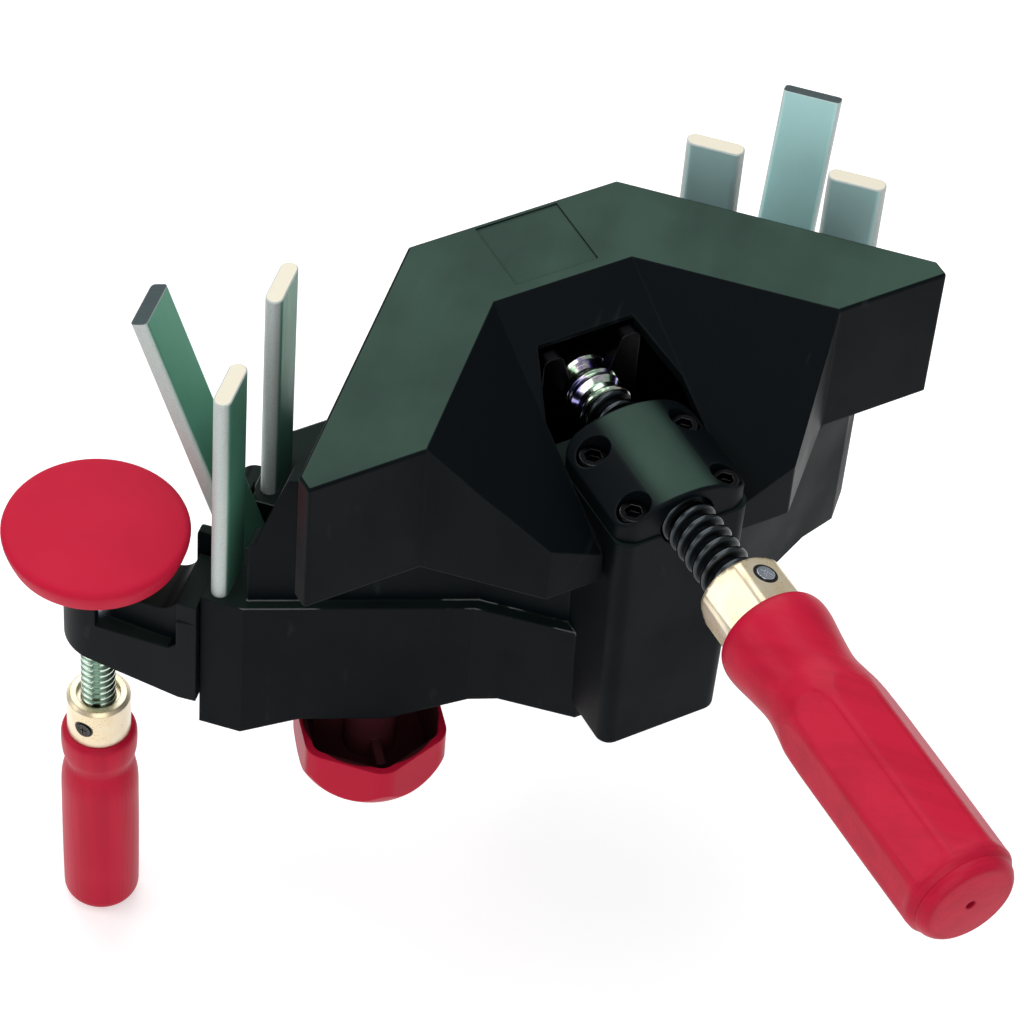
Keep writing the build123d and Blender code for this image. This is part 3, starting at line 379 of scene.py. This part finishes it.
# Plain metal, cast or machined, with oil stains in its colour and brighter worn edges
def worksMetal(name, color, worn, roughness, metallic=1.0, grain=600, wear=0.8, radius=0.0008):
    finish = Finish(name, Metallic=metallic)
    stain = finish.noise(scale=80, detail=5.0, seed=4.0)
    skin = finish.noise(scale=grain, detail=4.0, seed=1.0)
    mixed = finish.blend(finish.step(stain, 0.35, 0.65), dimmed(color, 0.6), color)
    rubbed = finish.edges(radius) * finish.step(stain, 0.3, 0.6, 0.35, 1.0) * wear
    return finish.set({
        "Base Color": finish.blend(rubbed, mixed, worn),
        "Roughness": roughness + (stain - 0.5) * 0.2 - rubbed * 0.12,
        "Normal": finish.bump(skin, distance=0.00006, strength=0.6, normal=finish.rounded(radius)),
    })


lacquer = {
    "color": (0.58, 0.010, 0.042),
    "deep": (0.42, 0.006, 0.028),
    # Darker colour along the grip's edges and grooves
    "edgeDark": (0.26, 0.004, 0.018),
    "handled": (0.62, 0.03, 0.07),
    "roughness": 0.40,
    "coat": 0.06,
    "relief": 0.00006,
    "edgeDarkRadius": 0.0025,
    "edgeDarkFull": 0.985,
    "upright": {"stretch": (1, 1, 0.035), "turn": (0, 0, 0), "handledScale": 36},
    "diagonal": {"stretch": (0.035, 1, 1), "turn": (0, 0, math.radians(-45)), "handledScale": 30},
}


# Red lacquer over turned wood: long pores and growth lines show through as faint relief.
# The grain runs along the axis that its stretch draws out, once its turn has laid that on the grip.
def lacqueredWood(name, grain):
    finish = Finish(name, Coat_Roughness=0.22, Coat_IOR=1.45, Specular_IOR_Level=0.10)
    pores = finish.noise(scale=1100, detail=3.0, stretch=grain["stretch"], turn=grain["turn"])
    figure = finish.noise(scale=150, detail=5.0, stretch=grain["stretch"], turn=grain["turn"], seed=5.0)
    handled = finish.noise(scale=grain["handledScale"], detail=4.0, seed=3.0)
    # Darker along the grip's edges and grooves
    edgeDarkMask = finish.edges(lacquer["edgeDarkRadius"], lacquer["edgeDarkFull"])
    color = finish.blend(finish.step(figure, 0.38, 0.68) * 0.45, lacquer["color"], lacquer["deep"])
    color = finish.blend(finish.step(handled, 0.5, 0.75) * 0.2, color, lacquer["handled"])
    color = finish.blend(edgeDarkMask * 0.35, color, lacquer["edgeDark"])
    relief = finish.step(pores, 0.3, 0.6) + figure * 0.5
    return finish.set({
        "Base Color": color,
        "Roughness": lacquer["roughness"] + (handled - 0.5) * 0.2,
        "Coat Weight": lacquer["coat"] + (handled - 0.5) * 0.1,
        "Normal": finish.bump(relief, lacquer["relief"], 0.5),
    })


redMoulding = {
    "disc": (0.60, 0.012, 0.045),
    "knob": (0.56, 0.010, 0.040),
    "rub": (0.68, 0.03, 0.07),
    "rubRadius": 0.0010,
    "edgeRadius": 0.0008,
}
# Painted shade inside the knob's hollow, under the housing
knobPaintedShade = {
    "axis": (0.0496, -0.1489, 0),
    "reach": 0.0232,
    "low": -0.0900,
    "wallFade": 0.0008,
    "floorFade": 0.001,
    "color": (0.045, 0.010, 0.013),
}


# Red moulded plastic with a fine grain and slightly polished rims, and painted shade inside a hollow,
# where the housing above shades it
def redPlastic(name, color, roughness, relief, paintedShade=None):
    finish = Finish(name, Specular_IOR_Level=0.08)
    fine = finish.noise(scale=2200, detail=2.0)
    cloud = finish.noise(scale=30, detail=4.0, seed=2.0)
    mixed = finish.blend(finish.step(cloud, 0.3, 0.75) * 0.25, color, dimmed(color, 0.72))
    rubbed = finish.edges(redMoulding["rubRadius"])
    mixed = finish.blend(rubbed * 0.2, mixed, redMoulding["rub"])
    # Painted shade: darkened within the hollow's wall and above its floor
    if paintedShade:
        away = finish.vector("SUBTRACT", finish.place(), paintedShade["axis"])
        away = finish.vector("MULTIPLY", away, (1, 1, 0))
        reach = finish.vector("LENGTH", away, output="Value")
        paintedShadeMask = finish.step(reach, paintedShade["reach"], paintedShade["reach"] + paintedShade["wallFade"], 1.0, 0.0)
        paintedShadeMask = paintedShadeMask * finish.step(finish.height(), paintedShade["low"], paintedShade["low"] + paintedShade["floorFade"])
        mixed = finish.blend(paintedShadeMask, mixed, paintedShade["color"])
    return finish.set({
        "Base Color": mixed,
        "Roughness": roughness + (cloud - 0.5) * 0.14 - rubbed * 0.06,
        "Normal": finish.bump(fine, relief, 0.6, finish.rounded(redMoulding["edgeRadius"])),
    })


finishes = {
    "housing_moulding": mouldedPlastic("housingMoulding", paintedSheenShare=0.22, roughness=0.50, specular=0.05,
                                       deckGlint=0.8),
    "hood_moulding": mouldedPlastic("hoodMoulding", paintedSheenShare=1.0, roughness=0.48, specular=0.05),
    "cover_moulding": mouldedPlastic("coverMoulding", paintedSheenShare=0.95, roughness=0.46, specular=0.06),
    "arm_casting": mouldedPlastic("armPaint", paintedSheenShare=0.24, roughness=0.46, specular=0.07),
    "screw_steel": worksMetal("blackScrewSteel", (0.005, 0.005, 0.006), (0.30, 0.30, 0.29), 0.36,
                              grain=900, wear=0.30, radius=0.0004),
    "nut_bronze": worksMetal("nutBronze", (0.52, 0.33, 0.15), (0.75, 0.55, 0.30), 0.30),
    "spindle_steel": turnedSteel("spindleSteel", tint=0.9, roughness=0.16),
    "ferrule_steel": strawZinc("strawZincFerrule", mainAxis, mainPin),
    "pin_steel": worksMetal("pinSteel", (0.46, 0.52, 0.60), (0.85, 0.88, 0.90), 0.26,
                            grain=1200, wear=0.6, radius=0.0003),
    "yoke_steel": worksMetal("yokeSteel", (0.004, 0.004, 0.005), (0.30, 0.30, 0.28), 0.42,
                             grain=700, wear=0.20, radius=0.0006),
    "beam_casting": worksMetal("beamCasting", (0.05, 0.05, 0.052), (0.30, 0.30, 0.29), 0.5,
                               metallic=0.85, grain=500, wear=0.6),
    "insert_brass": worksMetal("insertBrass", (0.62, 0.46, 0.18), (0.85, 0.68, 0.35), 0.28),
    "handle_wood": lacqueredWood("redLacquerUpright", lacquer["upright"]),
    "disc_plastic": redPlastic("discPlastic", redMoulding["disc"], roughness=0.50, relief=0.00002),
    "knob_plastic": redPlastic("knobPlastic", redMoulding["knob"], roughness=0.36, relief=0.00001,
                               paintedShade=knobPaintedShade),
}
diagonalWood = lacqueredWood("redLacquerDiagonal", lacquer["diagonal"])

leverLean = math.radians(19.4)  # away from upright, at rest
lean, rise = math.sin(leverLean), math.cos(leverLean)
# One plating on both sides: the left bars are painted darker green with painted shade towards their feet,
# and the right bars a lighter teal that stands for light on them
leftBar = platedBar("platedBarLeft", (0, 0, 1), (1, 0, 0), zinc["green"], shadeLow=0.2)
rightBar = platedBar("platedBarRight", (0, 0, 1), (0, 1, 0), zinc["paintedLightTeal"])
ownFinishes = {
    "left_near_bar": leftBar,
    "left_far_bar": leftBar,
    "right_near_bar": rightBar,
    "right_far_bar": rightBar,
    # The lever bars' cut tops take painted shade
    "left_lever_bar": platedBar("platedLeverLeft", (-lean, 0, rise), (rise, 0, lean), zinc["green"],
                                zinc["paintedShadeCut"], 0.35),
    "right_lever_bar": platedBar("platedLeverRight", (0, lean, rise), (0, -rise, lean), zinc["paintedLightTeal"],
                                 zinc["paintedShadeCut"]),
    "arm_tongue": platedBar("platedTongue", (1, 0, 0), (0, 0, 1)),
    "small_ferrule": strawZinc("strawZincSmall", sideAxis, smallPin),
    "small_ferrule_pin": worksMetal("darkPin", (0.05, 0.05, 0.045), (0.5, 0.5, 0.45), 0.34,
                                    grain=900, wear=0.5, radius=0.0003),
    "main_ferrule_pin": worksMetal("brightPin", (0.62, 0.68, 0.76), (0.95, 0.97, 1.0), 0.18,
                                   grain=900, wear=0.6, radius=0.0003),
}
print("materials made:", len(bpy.data.materials))

# Every carried-over node takes the finish of its slot in the record, or its own
for part in frame["record"]["subparts"]:
    node = nodes[part["node"]]
    node.data.materials.clear()
    node.data.materials.append(ownFinishes.get(part["node"]) or finishes[part["material_slot"]])
print("nodes dressed")

closeEnough = 1e-6  # metres, under which two points are one


# Revolves a profile of (height, radius) points, in millimetres, round Z
def turned(profile, steps):
    form = bmesh.new()
    verts = [form.verts.new((radius / 1000, 0, height / 1000)) for height, radius in profile]
    rims = [form.edges.new(pair) for pair in zip(verts, verts[1:])]
    bmesh.ops.spin(form, geom=verts + rims, cent=(0, 0, 0), axis=(0, 0, 1), angle=2 * math.pi,
                   steps=steps, use_merge=True, use_duplicate=False)
    bmesh.ops.remove_doubles(form, verts=form.verts, dist=closeEnough)
    bmesh.ops.recalc_face_normals(form, faces=form.faces)
    return form


# One pitch of a thread's outline, as (share of the pitch, share of the depth below the crest)
threadOutline = [(0.0, 1), (0.14, 1), (0.22, 0.88), (0.33, 0.12), (0.39, 0), (0.61, 0), (0.67, 0.12),
                 (0.78, 0.88), (0.86, 1), (1.0, 1)]


# Screw thread round Z: its outline is spun and lifted, then cut flat at both ends
def threaded(thread):
    form = bmesh.new()
    pitch, steps = thread["pitch"], thread["steps"]
    start, end = thread["span"]
    low = start - 1.5 * pitch
    turns = math.ceil((end - start) / pitch) + 3
    verts = [form.verts.new((thread["radius"] - thread["depth"] * sunk, 0, low + share * pitch))
             for share, sunk in threadOutline]
    rims = [form.edges.new(pair) for pair in zip(verts, verts[1:])]
    bmesh.ops.spin(form, geom=verts + rims, cent=(0, 0, 0), axis=(0, 0, 1), dvec=(0, 0, pitch / steps),
                   angle=2 * math.pi * turns, steps=steps * turns, use_merge=False, use_duplicate=False)
    bmesh.ops.remove_doubles(form, verts=form.verts, dist=closeEnough)
    for level, side in ((start, -1), (end, 1)):
        everything = form.verts[:] + form.edges[:] + form.faces[:]
        bmesh.ops.bisect_plane(form, geom=everything, plane_co=(0, 0, level), plane_no=(0, 0, side),
                               clear_outer=True, dist=closeEnough / 10)
        rim = [edge for edge in form.edges
               if edge.is_boundary and all(abs(vert.co.z - level) < closeEnough for vert in edge.verts)]
        bmesh.ops.holes_fill(form, edges=rim, sides=0)
    bmesh.ops.recalc_face_normals(form, faces=form.faces)
    return form


# Presses a long groove into a thread's crests, along one side of it
def grooved(form, groove):
    for vert in form.verts:
        reach = math.hypot(vert.co.x, vert.co.y)
        away = math.atan2(vert.co.y, vert.co.x) - groove["angle"]
        if reach > groove["radius"] and abs(away) < groove["halfWidth"]:
            vert.co.x *= groove["radius"] / reach
            vert.co.y *= groove["radius"] / reach
    return form


# Planes flats onto a turned form: count of them round it, from low to high, with soft run-outs
def flattened(form, flats):
    pitch = 2 * math.pi / flats["count"]
    for vert in form.verts:
        reach = math.hypot(vert.co.x, vert.co.y)
        if reach < flats["above"]:
            continue
        angle = (math.atan2(vert.co.y, vert.co.x) - flats["angle"] + pitch / 2) % pitch - pitch / 2
        cut = min(1.0, flats["apothem"] / math.cos(angle) / reach)
        share = min(vert.co.z - flats["low"], flats["high"] - vert.co.z) / flats["fade"]
        share = min(max(share, 0.0), 1.0)
        factor = 1 + (cut - 1) * share * share * (3 - 2 * share)
        vert.co.x *= factor
        vert.co.y *= factor
    return form


# Passes a smooth line through (height, radius) points
def smoothLine(points, parts=6):
    line = []
    padded = [points[0], *points, points[-1]]
    for a, b, c, d in zip(padded, padded[1:], padded[2:], padded[3:]):
        for count in range(parts):
            f = count / parts
            line.append(tuple(
                0.5 * (2 * q + (r - p) * f + (2 * p - 5 * q + 4 * r - s) * f * f
                       + (3 * q - p - 3 * r + s) * f ** 3)
                for p, q, r, s in zip(a, b, c, d)))
    return line + [points[-1]]


# Puts several forms into one mesh and makes it a piece of the object; sharp is in degrees
def makePiece(name, forms, body, finish, place, replaced=(), sharp=32):
    mesh = bpy.data.meshes.new(name)
    whole = bmesh.new()
    for form in forms:
        bmesh.ops.transform(form, matrix=place, verts=form.verts)
        form.to_mesh(mesh)
        whole.from_mesh(mesh)
        form.free()
    whole.to_mesh(mesh)
    whole.free()
    mesh.shade_smooth()
    mesh.set_sharp_from_angle(angle=math.radians(sharp))
    mesh.materials.append(finish)
    piece = bpy.data.objects.new(name, mesh)
    bpy.context.scene.collection.objects.link(piece)
    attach(piece, body)
    if replaced:
        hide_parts(*replaced)


# Outlines are (height along the axis, radius) in millimetres; a thread's own sizes are in metres
mainSpindle = {
    "spool": [(138.6, 0), (138.6, 7.4), (139.2, 8.5), (140.2, 9.0), (141.9, 9.0), (142.7, 8.2),
              (142.7, 6.0), (147.3, 6.0), (147.3, 8.4), (147.9, 9.1), (148.9, 9.2), (149.5, 8.3),
              (150.2, 8.3), (150.7, 8.9), (151.5, 9.0), (152.3, 8.2), (153.3, 7.35), (154.4, 7.2),
              (155.4, 7.3), (156.4, 8.1), (157.2, 9.1), (157.7, 9.4), (158.4, 9.3), (158.8, 8.7),
              (158.8, 0)],
    "tang": [(254.8, 0), (254.8, 6.0), (299.0, 6.0), (300.0, 5.0), (300.0, 0)],
    "thread": {
        "radius": 0.00898, "depth": 0.0020, "pitch": 0.005, "span": (0.1585, 0.2549), "steps": 40,
        "wear": (0.0072, 0.0089), "rootColor": (0.004, 0.005, 0.006), "crestColor": (0.055, 0.064, 0.070),
    },
}
makePiece("mainSpindleTurned",
          [turned(mainSpindle["spool"], steps=72), turned(mainSpindle["tang"], steps=32)],
          "spindle", finishes["spindle_steel"], mainAxis)
oiledThread = threadSteel("oiledThread", (0, 0, mainHeight), (half, -half, 0), mainSpindle["thread"])
makePiece("mainSpindleThread", [threaded(mainSpindle["thread"])], "spindle", oiledThread,
          mainAxis, ("main_spindle",), sharp=50)

sideSpindle = {
    "journal": [(-4.2, 0), (-4.2, 5.6), (-3.6, 5.9), (-2.8, 5.0), (-1.3, 5.0), (-1.3, 4.1), (0.7, 4.1),
                (0.7, 5.0), (6.6, 5.0), (7.6, 4.0), (7.6, 0)],
    "tang": [(-112.0, 0), (-112.0, 4.0), (-111.5, 4.5), (-81.3, 4.5), (-81.3, 0)],
    "thread": {
        "radius": 0.00598, "depth": 0.0014, "pitch": 0.003, "span": (-0.0814, -0.0036), "steps": 64,
        # Roots darkened with painted shade and crests lightened with a painted glint over the pale zinc
        "wear": (0.0047, 0.0059), "rootColor": (0.20, 0.32, 0.24), "crestColor": (0.66, 0.80, 0.68),
    },
    "groove": {"angle": math.radians(-74), "halfWidth": math.radians(11), "radius": 0.0051},
}
makePiece("sideSpindleTurned",
          [turned(sideSpindle["journal"], steps=48), turned(sideSpindle["tang"], steps=32)],
          "side_spindle", finishes["spindle_steel"], sideAxis)
zincThread = threadSteel("zincThread", sidePlace, (0, 0, 1), sideSpindle["thread"])
makePiece("sideSpindleThread", [grooved(threaded(sideSpindle["thread"]), sideSpindle["groove"])],
          "side_spindle", zincThread, sideAxis, ("small_spindle",), sharp=50)
print("spindles made")


# Quarter round from a grip's barrel, reach from its axis, to its end face
def roundedEnd(end, reach, rounding):
    turns = [math.radians(degrees) for degrees in range(10, 91, 10)]
    return [(end - rounding + rounding * math.sin(turn), reach - rounding + rounding * math.cos(turn))
            for turn in turns]


gripHole = {"chamfer": 0.3, "tip": 0.8}


# Turned wooden grip: neck inside the ferrule, shoulder, waist, barrel, rounded end with a centre hole
def grip(shape):
    start, body, end = shape["start"], shape["body"], shape["end"]
    bore, boreEnd = shape["bore"], shape["boreEnd"]
    holeRadius, holeDepth = shape["hole"]
    return turned([
        (start, bore), (start, shape["neck"]), (body, shape["neck"]), *smoothLine(shape["line"]),
        *shape["corner"], (end, holeRadius + gripHole["chamfer"]), (end - gripHole["chamfer"], holeRadius),
        (end - holeDepth, holeRadius), (end - holeDepth - gripHole["tip"], 0),
        (boreEnd, 0), (boreEnd, bore), (start, bore),
    ], steps=112)


mainGrip = {
    "start": 255.5, "body": 262.4, "end": 379.5, "neck": 10.8, "bore": 6.05, "boreEnd": 307.5,
    "line": [(262.4, 15.6), (263.2, 17.0), (264.8, 17.9), (267.5, 18.4), (272.0, 18.2), (280.0, 17.0),
             (288.5, 16.2), (296.0, 17.1), (304.0, 18.3), (318.0, 18.6), (337.0, 18.6), (360.0, 18.5),
             (372.0, 18.4)],
    "corner": [(373.2, 18.1), (374.2, 17.5), (374.9, 16.8), (375.3, 16.5), (375.8, 16.7), (377.0, 16.4),
               (378.2, 15.7), (379.0, 14.9), (379.4, 14.2), (379.5, 13.6)],
    "hole": (1.5, 4.0),
    "flats": {"count": 8, "angle": math.radians(39), "apothem": 0.01748, "above": 0.0168,
              "low": 0.293, "high": 0.3745, "fade": 0.006},
}
sideGrip = {
    "start": 81.5, "body": 86.4, "end": 176.0, "neck": 8.6, "bore": 4.55, "boreEnd": 113.5,
    "line": [(86.4, 11.4), (87.1, 12.5), (88.8, 13.1), (93.0, 13.2), (98.0, 12.8), (102.5, 11.6),
             (107.5, 12.7), (113.0, 13.4), (124.0, 13.5), (145.0, 13.5), (162.0, 13.4), (171.0, 13.3)],
    "corner": roundedEnd(176.0, 13.3, rounding=4.9),
    "hole": (1.1, 2.5),
}
makePiece("mainGrip", [flattened(grip(mainGrip), mainGrip["flats"])], "spindle", diagonalWood,
          mainAxis, ("main_handle",))
makePiece("sideGrip", [grip(sideGrip)], "side_spindle", finishes["handle_wood"], downwards,
          ("small_handle",))
print("grips made")

# Pressure disc: blind bore, hub, shallow underside and a rim that widens to the face
discOutline = [
    (8.0, 0), (8.0, 5.06), (0.4, 5.06), (0.4, 7.62), (-2.0, 7.62), (-2.0, 11.2), (-1.4, 11.9), (3.6, 12.0),
    (4.4, 12.3), (5.0, 13.1), (5.0, 27.0), (5.2, 28.2), (5.8, 29.0), (9.0, 30.2), (11.6, 30.95),
    (12.6, 31.1), (13.3, 31.15), (13.9, 30.95), (14.4, 30.5), (14.8, 29.8), (14.95, 29.0), (15.0, 28.0),
    (15.0, 0),
]
makePiece("pressurePad", [turned(discOutline, steps=144)], "disc", finishes["disc_plastic"],
          sideAxis, ("pressure_disc",))
print("disc made")

# Hexagonal ferrule with its corners turned down, open for the thread and the grip's neck
mainFerrule = {
    "outline": [(255.2, 9.05), (243.5, 9.05), (243.5, 12.7), (243.7, 13.2), (244.3, 13.9), (245.2, 14.6),
                (246.2, 14.75), (261.7, 14.75), (262.2, 14.4), (262.2, 10.85), (255.2, 10.85),
                (255.2, 9.05)],
    "flats": {"count": 6, "angle": mainPin["angle"], "apothem": mainPin["reach"], "above": 0.0115,
              "low": 0.2434, "high": 0.2624, "fade": 0.0001},
}
ferruleForm = flattened(turned(mainFerrule["outline"], steps=144), mainFerrule["flats"])
makePiece("mainFerruleTurned", [ferruleForm], "spindle", finishes["ferrule_steel"],
          mainAxis, ("main_ferrule",), sharp=40)
print("ferrule made")

# Studio: a pale floor, soft light from all round, the camera where the photograph was taken
studio = {
    "floorSize": 8,
    "floorGap": 0.001,
    "floorColor": (0.93, 0.93, 0.93),
    "floorCloud": (0.90, 0.90, 0.90),
    "glow": (0.42, 0.42, 0.42),
    "world": 0.34,
    "worldColor": (0.96, 0.98, 1.0, 1),
    "lights": [  # name, place, size in metres, watts
        ("backSoftbox", (-0.75, 1.15, 1.35), 1.7, 17.0),
        ("topSoftbox", (0.25, -0.15, 1.7), 1.2, 8.5),
        ("leftSoftbox", (-1.3, -0.6, 0.9), 0.9, 5.0),
        ("frontSoftbox", (0.75, -1.9, 1.0), 1.6, 14.0),
    ],
    "lookAt": (0.09, -0.12, 0.0),
    "cameraPlace": (0.3010, -1.0334, 1.0247),
    "cameraRight": (0.95426, 0.29259, 0.06160),
    "cameraUp": (-0.25510, 0.68923, 0.67815),
    "cameraForward": (-0.15596, 0.66284, -0.73233),
    "focalPixels": 4170,
    "imagePixels": 1024,
}
floorForm = bmesh.new()
bmesh.ops.create_grid(floorForm, x_segments=1, y_segments=1, size=studio["floorSize"])
bmesh.ops.translate(floorForm, verts=floorForm.verts, vec=(0, 0, cadBox[0].z - studio["floorGap"]))
floorMesh = bpy.data.meshes.new("studioFloor")
floorForm.to_mesh(floorMesh)
floorForm.free()
floor = bpy.data.objects.new("studioFloor", floorMesh)
bpy.context.scene.collection.objects.link(floor)
paper = Finish("studioFloorPaper", Roughness=0.9, Specular_IOR_Level=0.1, Emission_Strength=1.0)
cloud = paper.noise(scale=4, detail=2.0)
seen = paper.node("LightPath", output="Is Camera Ray")  # seen or mirrored, the paper glows up to white
seen = seen + paper.node("LightPath", output="Is Glossy Ray")
seen = seen + paper.node("LightPath", output="Is Transmission Ray")
floorMesh.materials.append(paper.set({
    "Base Color": paper.blend(cloud * 0.1, studio["floorColor"], studio["floorCloud"]),
    "Emission Color": paper.blend(seen, (0.0, 0.0, 0.0), studio["glow"]),
}))

world = bpy.data.worlds.new("studioWorld")
bpy.context.scene.world = world
world.use_nodes = True
sky = world.node_tree.nodes["Background"]
sky.inputs["Color"].default_value = studio["worldColor"]
sky.inputs["Strength"].default_value = studio["world"]

for name, place, size, power in studio["lights"]:
    lamp = bpy.data.lights.new(name, "AREA")
    lamp.shape = "SQUARE"
    lamp.size = size
    lamp.energy = power
    holder = bpy.data.objects.new(name, lamp)
    holder.location = place
    towards = Vector(studio["lookAt"]) - Vector(place)
    holder.rotation_euler = towards.to_track_quat("-Z", "Y").to_euler()
    bpy.context.scene.collection.objects.link(holder)

camera = bpy.data.cameras.new("photoCamera")
camera.sensor_fit = "HORIZONTAL"
camera.angle = 2 * math.atan(studio["imagePixels"] / 2 / studio["focalPixels"])
camera.clip_end = 50
cameraObject = bpy.data.objects.new("photoCamera", camera)
right, up, forward = (Vector(studio[key]) for key in ("cameraRight", "cameraUp", "cameraForward"))
cameraObject.matrix_world = Matrix((
    (right.x, up.x, -forward.x, studio["cameraPlace"][0]),
    (right.y, up.y, -forward.y, studio["cameraPlace"][1]),
    (right.z, up.z, -forward.z, studio["cameraPlace"][2]),
    (0, 0, 0, 1),
))
bpy.context.scene.collection.objects.link(cameraObject)
bpy.context.scene.camera = cameraObject
bpy.context.scene.view_settings.view_transform = "Standard"
print("studio made")
